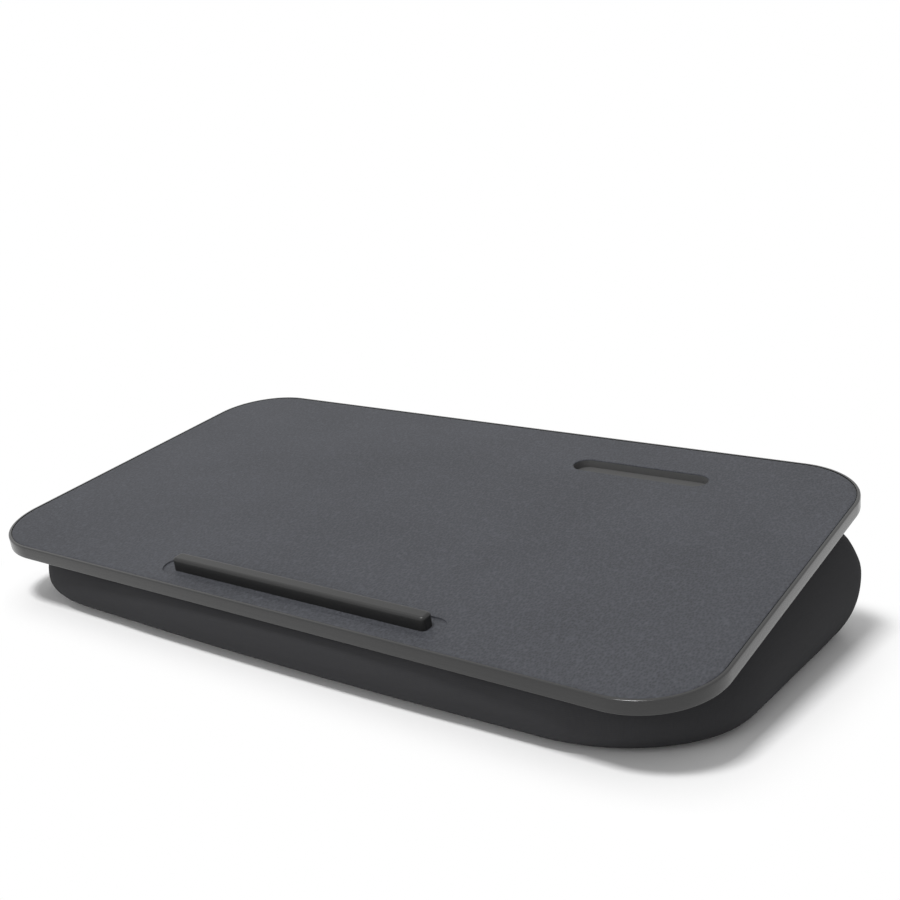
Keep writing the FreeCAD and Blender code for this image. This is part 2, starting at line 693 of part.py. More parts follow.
def make_zip_slider():
    body = new_body("zip_slider", SLIDER_PLACE)
    nose = "sizes.slider_length / 2 - sizes.slider_blade_length / 2"
    blade = new_sketch(body, "blade_outline", x=nose)
    add_stadium(blade, "sizes.slider_blade_length", "sizes.slider_blade")
    pad(body, "blade_pad", blade, "2 * (%s + sizes.slider_plate / 2)" % PLATE_LEVEL, both_ways=True)
    for side, name in zip(SIDES, ("inner", "outer")):
        plate = new_sketch(body, name + "_plate_outline", level="%d * %s" % (side, PLATE_LEVEL))
        add_rectangle(plate, "sizes.slider_length", "2 * " + SLIDER_HALF, "sizes.slider_corner")
        pad(body, name + "_plate_pad", plate, "sizes.slider_plate", down=side < 0)
    slit = "(sizes.tape_thick / 2 + sizes.slider_clearance)"
    lip_y = "(%s - sizes.slider_lip / 2)" % SLIDER_HALF
    for side, name in zip(SIDES, ("inner", "outer")):
        for hand, word in zip(SIDES, ("lower", "upper")):
            lip = new_sketch(body, "%s_%s_lip" % (name, word), y="%d * %s" % (hand, lip_y),
                             level="%d * %s" % (side, slit))
            add_block(lip, "sizes.slider_length - 2 * sizes.slider_corner", "sizes.slider_lip")
            pad(body, "%s_%s_lip_pad" % (name, word), lip,
                "%s - %s + sizes.slider_plate / 2" % (PLATE_LEVEL, slit), down=side < 0)
    top = "(%s + sizes.slider_plate)" % PLATE_LEVEL
    crown = new_sketch(body, "crown_outline", level=top)
    add_block(crown, "sizes.crown_length", "sizes.crown_width")
    pad(body, "crown_pad", crown, CROWN_RISE)
    window_height = "(%s - sizes.crown_thick)" % CROWN_RISE
    window = new_sketch(body, "crown_window", role="XZ_Plane", y="%s + %s / 2" % (top, window_height))
    add_block(window, "sizes.crown_length - 2 * sizes.crown_thick", window_height)
    pocket(body, "crown_window_cut", window, "sizes.crown_width + sizes.overrun", both_ways=True)


def make_zip_pull():
    body = new_body("zip_pull", PULL_PLACE)
    reach = "(sizes.pull_length - sizes.pull_thick) / 2"
    tab = new_sketch(body, "tab_outline", x=reach, level="-sizes.pull_thick / 2")
    add_rectangle(tab, "sizes.pull_length", "sizes.pull_width", "sizes.pull_corner")
    pad(body, "tab_pad", tab, "sizes.pull_thick")
    middle = "(sizes.pull_thick + sizes.pull_window_length) / 2"
    window = new_sketch(body, "tab_window", x=middle, level="sizes.pull_thick / 2")
    add_rectangle(window, "sizes.pull_window_length", "sizes.pull_window_width", "sizes.pull_clearance")
    pocket(body, "tab_window_cut", window, "sizes.pull_thick + sizes.overrun")


make_core_panel()
make_top_sheet()
make_backing_sheet()
make_edge_band()
make_stop_bar()
make_cushion_cover()
make_base_panel()
make_cover_top_panel()
make_foam_core()
make_pads("hook_pads", UNDERSIDE, size("sizes.hook_thick"))
make_pads("loop_pads", UNDERSIDE - size("sizes.hook_thick"), size("sizes.loop_thick"))
make_zip_tapes()
make_zip_rows()
make_zip_stops()
make_zip_slider()
make_zip_pull()
doc.recompute()

for item in doc.Objects:
    if "Invalid" in item.State or "Error" in item.State:
        raise RuntimeError("%s failed: %s" % (item.Label, item.State))
for piece in pieces:
    if piece.Shape.isNull() or not piece.Shape.isValid():
        raise RuntimeError("%s has no valid shape" % piece.Label)

os.makedirs("parts", exist_ok=True)
for piece in pieces:
    piece.Shape.exportStep(os.path.join("parts", piece.Label + ".step"))
    box = piece.Shape.optimalBoundingBox()
    print("%-16s %2d solids %10.1f mm3  x %7.1f %7.1f  y %7.1f %7.1f  z %6.1f %6.1f" % (
        piece.Label, len(piece.Shape.Solids), piece.Shape.Volume,
        box.XMin, box.XMax, box.YMin, box.YMax, box.ZMin, box.ZMax))
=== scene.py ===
"""Lap tray: the looks of a tilted board with a stop bar and a stand groove, on a zipped wedge cushion.

Metres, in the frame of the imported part: X runs to the user's right, Y away from the user and Z up.
The board's pieces are drawn flat, with their zero at the middle of the work surface, and are then
tilted into place.
"""

import json
import math

import bmesh
import bpy
from bmesh.types import BMFace, BMVert
from mathutils import Matrix, Vector
from mathutils.bvhtree import BVHTree


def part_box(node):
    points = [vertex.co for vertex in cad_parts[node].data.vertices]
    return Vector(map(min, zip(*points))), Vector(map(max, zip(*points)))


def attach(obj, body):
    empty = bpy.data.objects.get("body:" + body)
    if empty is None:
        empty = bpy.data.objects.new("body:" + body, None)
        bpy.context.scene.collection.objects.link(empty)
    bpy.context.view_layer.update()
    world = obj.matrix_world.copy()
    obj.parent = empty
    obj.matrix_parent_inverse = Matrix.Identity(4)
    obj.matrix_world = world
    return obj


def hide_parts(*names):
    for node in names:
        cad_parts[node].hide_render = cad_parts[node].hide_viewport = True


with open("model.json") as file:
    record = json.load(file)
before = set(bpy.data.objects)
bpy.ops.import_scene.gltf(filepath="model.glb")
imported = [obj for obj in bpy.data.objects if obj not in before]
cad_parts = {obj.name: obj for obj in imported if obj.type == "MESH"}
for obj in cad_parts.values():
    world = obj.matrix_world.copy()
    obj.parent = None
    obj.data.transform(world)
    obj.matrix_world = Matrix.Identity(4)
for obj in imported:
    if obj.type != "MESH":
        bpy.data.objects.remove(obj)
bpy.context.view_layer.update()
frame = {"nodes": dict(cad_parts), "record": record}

# Where the board stands, from the frame
MOUNTS = {mount["name"]: mount for mount in frame["record"]["mounts"]}
SURFACE = MOUNTS["work_surface"]
SURFACE_NORMAL = Vector(SURFACE["axis"]).normalized()
SURFACE_MIDDLE = Vector((0, SURFACE["pos_m"][1], SURFACE["pos_m"][2]))
TILT = math.atan2(-SURFACE_NORMAL.y, SURFACE_NORMAL.z)
BOARD_PLACE = Matrix.Translation(SURFACE_MIDDLE) @ Matrix.Rotation(TILT, 4, "X")

# Board, with its edging and its top sheet
BAND_LOW, BAND_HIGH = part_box("edge_band")
BOARD_WIDTH = BAND_HIGH.x - BAND_LOW.x
BOARD_DEPTH = 0.300
BOARD_THICK = 0.009
BOARD_CORNER = 0.050
BAND_THICK = 0.002
BAND_ARRIS = 0.0009
BARB_LENGTH = 0.0065
BARB_THICK = 0.0022
BARB_TOP = -(BOARD_THICK - BARB_THICK) / 2
BARB_FOOT = -(BOARD_THICK + BARB_THICK) / 2
SHEET_THICK = 0.0008
SHEET_REVEAL = 0.0005
SHEET_EDGE_DROP = 0.0005
SHEET_EDGE_SPREAD = 3.0

# Stop bar and its recess
BAR_LOW, BAR_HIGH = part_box("stop_bar")
BAR_LENGTH = BAR_HIGH.x - BAR_LOW.x
BAR_MIDDLE_X = (BAR_HIGH.x + BAR_LOW.x) / 2
BAR_SETBACK = 0.0225
BAR_WIDTH = 0.0095
BAR_RISE = 0.0077
BAR_EDGE_ROUND = 0.002
BAR_END_ROUND = 0.003
BAR_CENTRE = (BAR_MIDDLE_X, BAR_SETBACK - BOARD_DEPTH / 2)
RECESS_LENGTH = 0.219
RECESS_WIDTH = 0.021
RECESS_DEPTH = 0.001
RECESS_RIM = 0.0004
PEG_RADIUS = 0.003
PEG_LENGTH = 0.0055
PEG_SPACING = 0.140
PEG_CLEARANCE = 0.0001
PEG_CHAMFER = 0.0008

# Stand groove
GROOVE_LENGTH = 0.100
GROOVE_WIDTH = 0.0185
GROOVE_RIM = 0.0006
GROOVE_SIDE_MARGIN = 0.099
GROOVE_BACK_MARGIN = 0.0495
GROOVE_MIDDLE_X = BOARD_WIDTH / 2 - GROOVE_SIDE_MARGIN - GROOVE_LENGTH / 2
GROOVE_CENTRE = (GROOVE_MIDDLE_X, BOARD_DEPTH / 2 - GROOVE_BACK_MARGIN)

# Cushion
VOXEL = 0.005
SMOOTH_ROUNDS = 5
SMOOTH_SHARE = 0.5
EVEN_ROUNDS = 4
FILL_MARGIN = 0.0004
COVER_GAP = 0.0004
FLOOR_SOFTNESS = 0.0012
FOAM_SLACK = 0.0015
SEAT_CLEARANCE = 0.0003
BASE_LIFT = 0.0004
BASE_SEAM_INSET = 0.0040

# Cloth simulation that swells the cushion's cover
CLOTH_FRAMES = 20
CLOTH_QUALITY = 6
CLOTH_MASS = 0.1
CLOTH_STIFFNESS = 5
CLOTH_BENDING = 0.5
PRESSURE = 4.0
MOVE_CAP = 0.0030

# Hook and loop pads
PAD_LENGTH = 0.070
PAD_WIDTH = 0.025
PAD_CORNER = 0.0025
PAD_EDGE_ROUND = 0.0003

# Zip
TAPE_LOW, TAPE_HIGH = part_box("zip_tapes")
TAPE_MIDDLE = (TAPE_LOW + TAPE_HIGH) / 2
TAPE_SIZE = TAPE_HIGH - TAPE_LOW
TAPE_WIDTH = 0.0083
TAPE_CORNER = 0.0008
TAPE_EDGE_ROUND = 0.0002
TAPE_SEAM_INSET = 0.0016
ROW_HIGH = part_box("zip_rows")[1]
STOP_LENGTH = 0.003
SLIDER_LOW, SLIDER_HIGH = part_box("zip_slider")
ZIP_PLACE = Matrix.Translation(TAPE_MIDDLE) @ Matrix.Rotation(-math.pi / 2, 4, "X")

# Stitches
STITCH_LENGTH = 0.0026
STITCH_PITCH = 0.0036
STITCH_THICK = 0.0005
STITCH_SIDES = 6
STITCH_RINGS = 8

# Fineness of rounded outlines and edges
CORNER_STEPS = 28
ROUND_STEPS = 5
HOLE_STEPS = 40

# Level ring beside a rounded edge, which keeps the shading of the flat face even
FLAT_RING = 0.0005

# Points that lie nearer than this become one: on an arc, as a share of its step, and elsewhere
ARC_MERGE = 0.25
DOUBLES = 0.000002
SHEET_DOUBLES = 0.00005

# Limits within which an edge counts as lying at a level, and a face as upright
LEVEL_SLACK = 0.00005
UPRIGHT_LIMIT = 0.5

# Turns between faces under which they are one flat side, and over which their edge is sharp
FLAT_DEGREES = 0.5
SHARP_DEGREES = 35
COVER_SHARP_DEGREES = 50


# Mesh tools


def only(items, kind):
    """The items of one kind, such as faces, among those that an operator gives."""
    return [item for item in items if isinstance(item, kind)]


def outline(bm, width, depth, corner, level, centre=(0, 0)):
    """A flat face that looks up, with rounded corners."""
    before = set(bm.faces)
    verts = []
    for side_x, side_y in ((-1, -1), (1, -1), (1, 1), (-1, 1)):
        x = centre[0] + side_x * width / 2
        y = centre[1] + side_y * depth / 2
        verts.append(bm.verts.new((x, y, level)))
    bm.faces.new(verts)
    bmesh.ops.bevel(bm, geom=verts, offset=corner, affect="VERTICES", segments=CORNER_STEPS,
                    profile=0.5, material=-1, clamp_overlap=True)
    return [face for face in bm.faces if face not in before][0]


def stadium(bm, length, width, level, centre):
    """A flat face with round ends, whose arcs meet."""
    face = outline(bm, length, width, width / 2, level, centre)
    bmesh.ops.remove_doubles(bm, verts=face.verts, dist=ARC_MERGE * width / CORNER_STEPS)
    return face


def disc(bm, radius, level, centre):
    """A round flat face that looks up."""
    place = Matrix.Translation((centre[0], centre[1], level))
    made = bmesh.ops.create_circle(bm, cap_ends=True, segments=HOLE_STEPS, radius=radius, matrix=place)
    face = made["verts"][0].link_faces[0]
    if face.normal.z < 0:
        face.normal_flip()
    return face


def step_in(bm, face, run, rise):
    """Draws the face in by run and moves it along its normal by rise, leaving a ring of faces behind."""
    bmesh.ops.inset_individual(bm, faces=[face], thickness=run, depth=rise, use_even_offset=True)


def quarter(radius):
    """Runs and drops that turn from level to upright round a quarter circle."""
    turns = [math.pi / 2 * step / ROUND_STEPS for step in range(ROUND_STEPS + 1)]
    pairs = []
    for a, b in zip(turns, turns[1:]):
        run = radius * (math.sin(b) - math.sin(a))
        drop = radius * (math.cos(a) - math.cos(b))
        pairs.append((run, drop))
    return pairs


def fill_round(bm, face, holes):
    """Puts flat triangles in the place of a face, leaving the holes' own faces out."""
    edges = list(face.edges)
    for hole in holes:
        edges += list(hole.edges)
    up = face.normal.copy()
    bmesh.ops.delete(bm, geom=[face], context="FACES_ONLY")
    made = bmesh.ops.triangle_fill(bm, edges=edges, use_beauty=True, normal=up)
    for triangle in only(made["geom"], BMFace):
        if triangle.normal.dot(up) < 0:
            triangle.normal_flip()


def plate(bm, width, depth, corner, low, high, centre, edge):
    """A closed plate with rounded corners and a soft upper edge. Gives its lower face."""
    under = outline(bm, width, depth, corner, low, centre)
    top = outline(bm, width, depth, corner, low, centre)
    under.normal_flip()
    step_in(bm, top, 0, high - low - edge)
    for run, drop in reversed(quarter(edge)):
        step_in(bm, top, run, drop)
    step_in(bm, top, FLAT_RING, 0)
    return under


def block(low, high):
    """A box between two corners."""
    bm = bmesh.new()
    bmesh.ops.create_cube(bm, size=1)
    bmesh.ops.scale(bm, vec=high - low, verts=bm.verts)
    bmesh.ops.translate(bm, vec=(low + high) / 2, verts=bm.verts)
    return bm


def hull(points):
    """A closed mesh round the points, with its flat sides as single faces."""
    bm = bmesh.new()
    for point in points:
        bm.verts.new(point)
    made = bmesh.ops.convex_hull(bm, input=bm.verts)
    loose = {*only(made["geom_interior"], BMVert), *only(made["geom_unused"], BMVert)}
    bmesh.ops.delete(bm, geom=list(loose), context="VERTS")
    flat = math.radians(FLAT_DEGREES)
    bmesh.ops.dissolve_limit(bm, angle_limit=flat, verts=bm.verts, edges=bm.edges)
    bmesh.ops.recalc_face_normals(bm, faces=bm.faces)
    return bm


def stitch_places(points):
    """Places for stitches along a line of points, one to each pitch."""
    places = []
    start = 0.0
    for here, there in zip(points, points[1:]):
        way = there - here
        turn = way.to_track_quat("X", "Z").to_matrix().to_4x4()
        while start < way.length:
            places.append(Matrix.Translation(here + way * (start / way.length)) @ turn)
            start += STITCH_PITCH
        start -= way.length
    return places


def stitches(places):
    """A mesh with a stitch at each place."""
    one = bmesh.new()
    size = Matrix.Diagonal((STITCH_LENGTH / 2, STITCH_THICK / 2, STITCH_THICK / 2, 1))
    bmesh.ops.create_uvsphere(one, u_segments=STITCH_SIDES, v_segments=STITCH_RINGS, radius=1,
                              matrix=size)
    one.verts.index_update()
    bm = bmesh.new()
    for place in places:
        verts = [bm.verts.new(place @ vert.co) for vert in one.verts]
        for face in one.faces:
            bm.faces.new([verts[vert.index] for vert in face.verts])
    one.free()
    return bm


def node_points(name):
    """The corners of a CAD node's mesh."""
    return [vert.co.copy() for vert in frame["nodes"][name].data.vertices]


def to_mesh(bm, name):
    """Turns a bmesh into a mesh with a name of its own, and frees it."""
    mesh = bpy.data.meshes.new(name)
    bm.to_mesh(mesh)
    bm.free()
    return mesh


def add_object(name, data):
    """Puts a mesh, a lamp or a camera into the scene."""
    made = bpy.data.objects.new(name, data)
    bpy.context.scene.collection.objects.link(made)
    return made


def shade(mesh, sharp_degrees):
    """Smooth shading that stops at edges which turn by more than the angle."""
    mesh.shade_smooth()
    mesh.set_sharp_from_angle(angle=math.radians(sharp_degrees))


def place_piece(bm, name, body, material, place=Matrix(), replaces=()):
    """Makes the piece's object with its place in its mesh, and lets it ride on its body."""
    bm.transform(place)
    mesh = to_mesh(bm, name)
    shade(mesh, SHARP_DEGREES)
    mesh.materials.append(material)
    piece = add_object(name, mesh)
    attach(piece, body)
    if replaces:
        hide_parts(*replaces)
    return piece


# Materials

# One wave of Blender's wave texture at a scale of 1
WAVE_PERIOD = math.pi / 10

# How fine the second pattern in a finish is, as a multiple of the first one's fineness
GRAIN_PITS = 3
KNIT_LINT = 0.4
WEAVE_LINT = 0.5

# Shares of the first of two patterns that are laid over each other
PEBBLE_SHARE = 0.6
KNIT_SHARE = 0.5
WEAVE_SHARE = 0.7
PATTERN_SHARE = 0.75

NOISE_DETAIL = 2.0
SPECKLE_DETAIL = 4.0
GRAIN_STRETCH = 1.7
DRIFT_LENGTH = 0.08

# Tints of the greys
NEUTRAL = (1.00, 1.00, 1.00)
SLATE = (0.96, 1.00, 1.14)
INK = (1.00, 1.00, 1.06)


def set_inputs(node, **values):
    """Sets a node's own sockets, whose names are written with underscores for spaces."""
    for name, value in values.items():
        node.inputs[name.replace("_", " ")].default_value = value


def add_node(tree, kind, **values):
    """A new node with values on its sockets."""
    made = tree.nodes.new(kind)
    set_inputs(made, **values)
    return made


def object_place(tree, turn=0.0, stretch=1.0):
    """Object coordinates, with patterns stretched along Y and turned about X."""
    coords = tree.nodes.new("ShaderNodeTexCoord")
    mapping = add_node(tree, "ShaderNodeMapping", Rotation=(turn, 0, 0), Scale=(1, 1 / stretch, 1))
    tree.links.new(coords.outputs["Object"], mapping.inputs["Vector"])
    return mapping.outputs["Vector"]


def math_node(tree, operation, first, second=0):
    """An operation on two sockets or numbers."""
    made = tree.nodes.new("ShaderNodeMath")
    made.operation = operation
    for index, value in enumerate((first, second)):
        if isinstance(value, (int, float)):
            made.inputs[index].default_value = value
        else:
            tree.links.new(value, made.inputs[index])
    return made.outputs["Value"]


def vector_node(tree, operation, first, second=(0, 0, 0)):
    """An operation on a vector socket and a fixed vector."""
    made = tree.nodes.new("ShaderNodeVectorMath")
    made.operation = operation
    tree.links.new(first, made.inputs[0])
    made.inputs[1].default_value = second
    return made


def laid_over(tree, first, second, share):
    """The first pattern by its share, with the second by the rest."""
    return math_node(tree, "ADD", math_node(tree, "MULTIPLY", first, share),
                     math_node(tree, "MULTIPLY", second, 1 - share))


def noise(tree, place, scale, detail=NOISE_DETAIL):
    """Cloudy noise."""
    made = add_node(tree, "ShaderNodeTexNoise", Scale=scale, Detail=detail)
    tree.links.new(place, made.inputs["Vector"])
    return made.outputs["Fac"]


def cells(tree, place, scale):
    """Rounded cells, dark in their middles."""
    made = add_node(tree, "ShaderNodeTexVoronoi", Scale=scale)
    tree.links.new(place, made.inputs["Vector"])
    return made.outputs["Distance"]


def bands(tree, place, axis, pitch):
    """Smooth bands across one axis, one to each pitch."""
    made = add_node(tree, "ShaderNodeTexWave", Scale=WAVE_PERIOD / pitch)
    made.bands_direction = axis
    tree.links.new(place, made.inputs["Vector"])
    return made.outputs["Fac"]


def grain_pattern(tree, pitch):
    """Pebbled grain: rounded cells with fine pits, longer along the board's depth."""
    place = object_place(tree, -TILT, GRAIN_STRETCH)
    pebbles = cells(tree, place, 1 / pitch)
    pits = noise(tree, place, GRAIN_PITS / pitch)
    return laid_over(tree, pebbles, pits, PEBBLE_SHARE)


def speckle_pattern(tree, pitch):
    """Moulded or sprayed surface with a faint uneven texture."""
    return noise(tree, object_place(tree), 1 / pitch, SPECKLE_DETAIL)


def knit_pattern(tree, pitch):
    """Fine knit that looks alike on faces of every direction."""
    place = object_place(tree)
    wale = bands(tree, place, "X", pitch)
    depth = bands(tree, place, "Y", pitch)
    course = bands(tree, place, "Z", pitch)
    rows = math_node(tree, "MAXIMUM", math_node(tree, "MULTIPLY", wale, course),
                     math_node(tree, "MULTIPLY", depth, course))
    lint = noise(tree, place, KNIT_LINT / pitch)
    return laid_over(tree, rows, lint, KNIT_SHARE)


def weave_pattern(tree, pitch):
    """Plain weave seen on a face that is nearly level or that looks back."""
    place = object_place(tree)
    warp = bands(tree, place, "X", pitch)
    weft = math_node(tree, "MULTIPLY", bands(tree, place, "Y", pitch), bands(tree, place, "Z", pitch))
    crossed = math_node(tree, "ABSOLUTE", math_node(tree, "SUBTRACT", warp, weft))
    lint = noise(tree, place, WEAVE_LINT / pitch)
    return laid_over(tree, crossed, lint, WEAVE_SHARE)


def pore_pattern(tree, pitch):
    """Open cells."""
    return cells(tree, object_place(tree), 1 / pitch)


def twist_pattern(tree, pitch):
    """The slanted strands of a twisted thread."""
    return bands(tree, object_place(tree), "DIAGONAL", pitch)


def colour_socket(sockets, name):
    """The colour among the sockets of that name."""
    return [socket for socket in sockets if socket.name == name and socket.type == "RGBA"][0]


def grey(level, tint=NEUTRAL):
    """A grey that leans towards a tint."""
    return tuple(level * share for share in tint)


def surface(name, dark, light, roughness, pattern, pitch, relief, **sockets):
    """A material whose tone, roughness and relief follow one pattern, with slow drifts of tone over it.

    The roughness is a range, the relief is the height of the pattern, and the sockets are values that
    are the same all over the surface.
    """
    material = bpy.data.materials.new(name)
    material.use_nodes = True
    tree = material.node_tree
    shader = tree.nodes["Principled BSDF"]
    set_inputs(shader, **sockets)

    drift = noise(tree, object_place(tree), 1 / DRIFT_LENGTH)
    blend = laid_over(tree, pattern(tree, pitch), drift, PATTERN_SHARE)
    tone = tree.nodes.new("ShaderNodeMix")
    tone.data_type = "RGBA"
    colour_socket(tone.inputs, "A").default_value = (*dark, 1)
    colour_socket(tone.inputs, "B").default_value = (*light, 1)
    tree.links.new(blend, tone.inputs["Factor"])
    tree.links.new(colour_socket(tone.outputs, "Result"), shader.inputs["Base Color"])

    polish = add_node(tree, "ShaderNodeMapRange", To_Min=roughness[0], To_Max=roughness[1])
    tree.links.new(blend, polish.inputs["Value"])
    tree.links.new(polish.outputs["Result"], shader.inputs["Roughness"])

    bump = add_node(tree, "ShaderNodeBump", Strength=1.0, Distance=relief)
    tree.links.new(blend, bump.inputs["Height"])
    tree.links.new(bump.outputs["Normal"], shader.inputs["Normal"])
    return material


def make_board_finishes():
    """The sheet, the edging, the bar, and the panel with its backing."""
    return (
        surface("grained_sheet", dark=grey(0.012, SLATE), light=grey(0.098, SLATE),
                roughness=(0.52, 0.66), pattern=grain_pattern, pitch=0.0013, relief=0.00018,
                Specular_IOR_Level=0.15),
        surface("edge_plastic", dark=grey(0.009), light=grey(0.014),
                roughness=(0.17, 0.25), pattern=speckle_pattern, pitch=0.0009, relief=0.00003,
                Specular_IOR_Level=0.58),
        surface("bar_rubber", dark=grey(0.006), light=grey(0.010),
                roughness=(0.34, 0.46), pattern=speckle_pattern, pitch=0.0007, relief=0.00003,
                Specular_IOR_Level=0.46),
        surface("core_fibre", dark=grey(0.068), light=grey(0.100),
                roughness=(0.75, 0.90), pattern=speckle_pattern, pitch=0.0011, relief=0.00010,
                Specular_IOR_Level=0.3),
        surface("backing_film", dark=grey(0.026), light=grey(0.034),
                roughness=(0.45, 0.60), pattern=speckle_pattern, pitch=0.0012, relief=0.00003),
    )


def make_cushion_finishes():
    """The cover, the base, the lining, the foam, and the two sides of the hook and loop tape."""
    return (
        surface("cover_knit", dark=grey(0.029, INK), light=grey(0.038, INK),
                roughness=(0.80, 0.94), pattern=knit_pattern, pitch=0.0011, relief=0.00006,
                Specular_IOR_Level=0.06),
        surface("base_weave", dark=grey(0.022), light=grey(0.032),
                roughness=(0.80, 0.95), pattern=weave_pattern, pitch=0.0016, relief=0.00015,
                Specular_IOR_Level=0.25),
        surface("lining_weave", dark=grey(0.020), light=grey(0.028),
                roughness=(0.82, 0.95), pattern=weave_pattern, pitch=0.0012, relief=0.00010,
                Specular_IOR_Level=0.2),
        surface("foam_cells", dark=(0.54, 0.52, 0.47), light=(0.68, 0.66, 0.60),
                roughness=(0.85, 0.98), pattern=pore_pattern, pitch=0.0016, relief=0.00030,
                Specular_IOR_Level=0.2),
        surface("hook_pile", dark=grey(0.016), light=grey(0.026),
                roughness=(0.40, 0.60), pattern=pore_pattern, pitch=0.0011, relief=0.00035),
        surface("loop_pile", dark=grey(0.018), light=grey(0.030),
                roughness=(0.85, 0.98), pattern=speckle_pattern, pitch=0.0006, relief=0.00035,
                Specular_IOR_Level=0.2, Sheen_Weight=0.3),
    )


def make_zip_finishes():
    """The tapes, the moulded teeth, the enamelled metal, and the thread of all seams."""
    return (
        surface("zip_weave", dark=grey(0.019), light=grey(0.029),
                roughness=(0.75, 0.90), pattern=weave_pattern, pitch=0.0009, relief=0.00008,
                Specular_IOR_Level=0.3),
        surface("zip_moulding", dark=grey(0.015), light=grey(0.022),
                roughness=(0.30, 0.42), pattern=speckle_pattern, pitch=0.0006, relief=0.00002),
        surface("zip_enamel", dark=grey(0.024), light=grey(0.034),
                roughness=(0.26, 0.36), pattern=speckle_pattern, pitch=0.0010, relief=0.00002,
                Coat_Weight=0.5, Coat_Roughness=0.15),
        surface("thread", dark=grey(0.030), light=grey(0.050),
                roughness=(0.60, 0.75), pattern=twist_pattern, pitch=0.0005, relief=0.00006),
    )


def make_materials():
    """All finishes, by their names."""
    finishes = (*make_board_finishes(), *make_cushion_finishes(), *make_zip_finishes())
    return {material.name: material for material in finishes}


# Board


def sheet_outline(bm):
    """The outline of the sheet, at the level of its underside."""
    inset = 2 * (BAND_THICK + SHEET_REVEAL)
    corner = BOARD_CORNER - inset / 2
    return outline(bm, BOARD_WIDTH - inset, BOARD_DEPTH - inset, corner, -SHEET_THICK)


def peg_discs(bm, level, radius):
    """Round faces over the two places of the bar's pegs."""
    discs = []
    for side in (-1, 1):
        x = BAR_CENTRE[0] + side * PEG_SPACING / 2
        discs.append(disc(bm, radius, level, (x, BAR_CENTRE[1])))
    return discs


def close_sheet(bm):
    """The sheet's underside, with the recess standing down from it and the groove's mouth left open."""
    under = sheet_outline(bm)
    margin = 2 * SHEET_THICK
    pan = stadium(bm, RECESS_LENGTH + margin, RECESS_WIDTH + margin, -SHEET_THICK, BAR_CENTRE)
    mouth = stadium(bm, GROOVE_LENGTH, GROOVE_WIDTH, -SHEET_THICK, GROOVE_CENTRE)
    under.normal_flip()
    pan.normal_flip()
    fill_round(bm, under, (pan, mouth))
    step_in(bm, pan, 0, RECESS_DEPTH)
    holes = peg_discs(bm, -RECESS_DEPTH - SHEET_THICK, PEG_RADIUS + PEG_CLEARANCE)
    fill_round(bm, pan, holes)
    bmesh.ops.delete(bm, geom=[mouth, *holes], context="FACES_ONLY")
    bmesh.ops.remove_doubles(bm, verts=bm.verts, dist=SHEET_DOUBLES)


def make_top_sheet(materials):
    """The grained sheet, pressed down into the bar's recess and open over the stand groove."""
    bm = bmesh.new()
    top = sheet_outline(bm)
    step_in(bm, top, 0, SHEET_THICK - SHEET_EDGE_DROP)
    for run, drop in reversed(quarter(SHEET_EDGE_DROP)):
        step_in(bm, top, run * SHEET_EDGE_SPREAD, drop)
    step_in(bm, top, FLAT_RING, 0)

    margin = 2 * (RECESS_RIM + FLAT_RING)
    pan = stadium(bm, RECESS_LENGTH + margin, RECESS_WIDTH + margin, 0, BAR_CENTRE)
    margin = 2 * (GROOVE_RIM + FLAT_RING)
    mouth = stadium(bm, GROOVE_LENGTH + margin, GROOVE_WIDTH + margin, 0, GROOVE_CENTRE)
    fill_round(bm, top, (pan, mouth))

    step_in(bm, pan, FLAT_RING, 0)
    for run, drop in quarter(RECESS_RIM):
        step_in(bm, pan, run, -drop)
    step_in(bm, pan, 0, 2 * RECESS_RIM - RECESS_DEPTH)
    for run, drop in reversed(quarter(RECESS_RIM)):
        step_in(bm, pan, run, -drop)
    step_in(bm, pan, FLAT_RING, 0)
    holes = peg_discs(bm, -RECESS_DEPTH, PEG_RADIUS + PEG_CLEARANCE)
    fill_round(bm, pan, holes)
    for hole in holes:
        step_in(bm, hole, 0, -SHEET_THICK)

    step_in(bm, mouth, FLAT_RING, 0)
    for run, drop in quarter(GROOVE_RIM):
        step_in(bm, mouth, run, -drop)
    step_in(bm, mouth, 0, GROOVE_RIM - SHEET_THICK)
    bmesh.ops.delete(bm, geom=[mouth, *holes], context="FACES_ONLY")
    close_sheet(bm)
    place_piece(bm, "grained_top", "desk", materials["grained_sheet"], BOARD_PLACE,
                ("top_sheet",))


def lies_between(item, low, high):
    """Whether an edge or a face lies between two levels."""
    return all(low - LEVEL_SLACK < vert.co.z < high + LEVEL_SLACK for vert in item.verts)


def looks_out(face):
    """Over 0 where a face looks away from the board's middle, and under 0 where it looks towards it."""
    corner = face.verts[0].co
    return face.normal.dot(Vector((corner.x, corner.y, 0)))


def draw_wall(bm):
    """The edging's wall: a ring drawn down in three courses, the middle one as high as the barb."""
    inner = outline(bm, BOARD_WIDTH, BOARD_DEPTH, BOARD_CORNER, 0)
    step_in(bm, inner, BAND_THICK, 0)
    bmesh.ops.delete(bm, geom=[inner], context="FACES")
    levels = (0, BARB_TOP, BARB_FOOT, -BOARD_THICK)
    ring = list(bm.faces)
    for above, below in zip(levels, levels[1:]):
        made = bmesh.ops.extrude_face_region(bm, geom=ring)
        bmesh.ops.translate(bm, verts=only(made["geom"], BMVert), vec=(0, 0, below - above))
        between_courses = ring if above < 0 else []
        bmesh.ops.delete(bm, geom=between_courses, context="FACES")
        ring = only(made["geom"], BMFace)
    bmesh.ops.recalc_face_normals(bm, faces=bm.faces)


